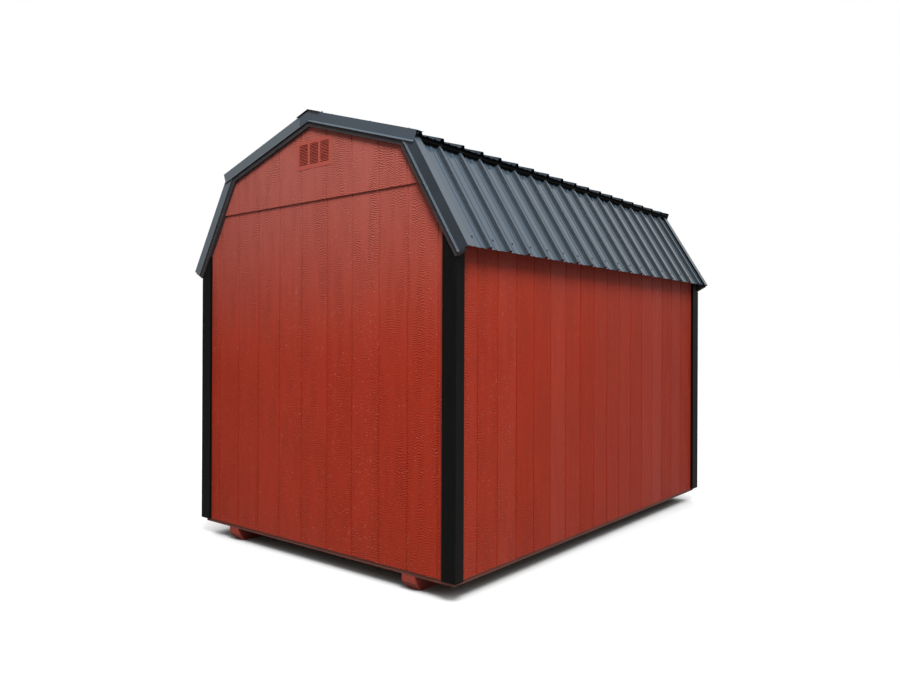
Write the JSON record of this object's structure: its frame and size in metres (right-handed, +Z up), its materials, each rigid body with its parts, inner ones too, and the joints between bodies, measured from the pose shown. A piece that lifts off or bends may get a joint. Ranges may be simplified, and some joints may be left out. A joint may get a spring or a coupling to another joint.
{
  "type": "gambrel storage shed",
  "caption": "Gambrel-roofed storage barn on skids, grooved board siding, ribbed metal roof with ridge cap and rake flashing, louvred gable vents.",
  "frame": {"origin": "On the ground under the skids, at the centre of the plan.", "axes": "+X to the right-hand long wall seen from the front gable, +Y from the front gable to the rear gable along the ridge, +Z up."},
  "size_m": [2.2972, 3.694, 2.7701],
  "materials": {
    "skid_wood": "painted treated timber",
    "floor_wood": "painted treated timber",
    "deck_wood": "plain sheathing",
    "frame_wood": "sawn softwood",
    "siding_paint": "satin paint on embossed wood grain",
    "trim_paint": "satin black paint",
    "roof_metal": "gloss black paint",
    "flashing_metal": "semi-gloss charcoal paint",
    "closure_foam": "black closed-cell foam",
    "vent_plastic": "moulded, satin"
  },
  "bodies": {
    "root": {"skid_left": "skid_wood", "skid_right": "skid_wood", "floor_rim": "floor_wood", "floor_joists": "floor_wood", "floor_deck": "deck_wood", "right_wall_frame": "frame_wood", "left_wall_frame": "frame_wood", "front_wall_frame": "frame_wood", "rear_wall_frame": "frame_wood", "roof_rafters": "frame_wood", "roof_purlins": "frame_wood", "front_siding_lower": "siding_paint", "rear_siding_lower": "siding_paint", "front_siding_upper": "siding_paint", "rear_siding_upper": "siding_paint", "front_gable_backer": "deck_wood", "rear_gable_backer": "deck_wood", "right_siding": "siding_paint", "left_siding": "siding_paint", "corner_trim_front_right": "trim_paint", "corner_trim_front_left": "trim_paint", "corner_trim_rear_right": "trim_paint", "corner_trim_rear_left": "trim_paint", "rake_board_front_right": "trim_paint", "rake_board_front_left": "trim_paint", "rake_board_rear_right": "trim_paint", "rake_board_rear_left": "trim_paint", "upper_roof_sheet_right": "roof_metal", "upper_roof_sheet_left": "roof_metal", "lower_roof_sheet_right": "roof_metal", "lower_roof_sheet_left": "roof_metal", "break_closure_right": "closure_foam", "break_closure_left": "closure_foam", "ridge_cap": "roof_metal", "rake_flashing_front_upper_right": "flashing_metal", "rake_flashing_front_upper_left": "flashing_metal", "rake_flashing_rear_upper_right": "flashing_metal", "rake_flashing_rear_upper_left": "flashing_metal", "rake_flashing_front_lower_right": "flashing_metal", "rake_flashing_front_lower_left": "flashing_metal", "rake_flashing_rear_lower_right": "flashing_metal", "rake_flashing_rear_lower_left": "flashing_metal", "gable_vent_front": "vent_plastic", "gable_vent_rear": "vent_plastic"}
  },
  "joints": []
}
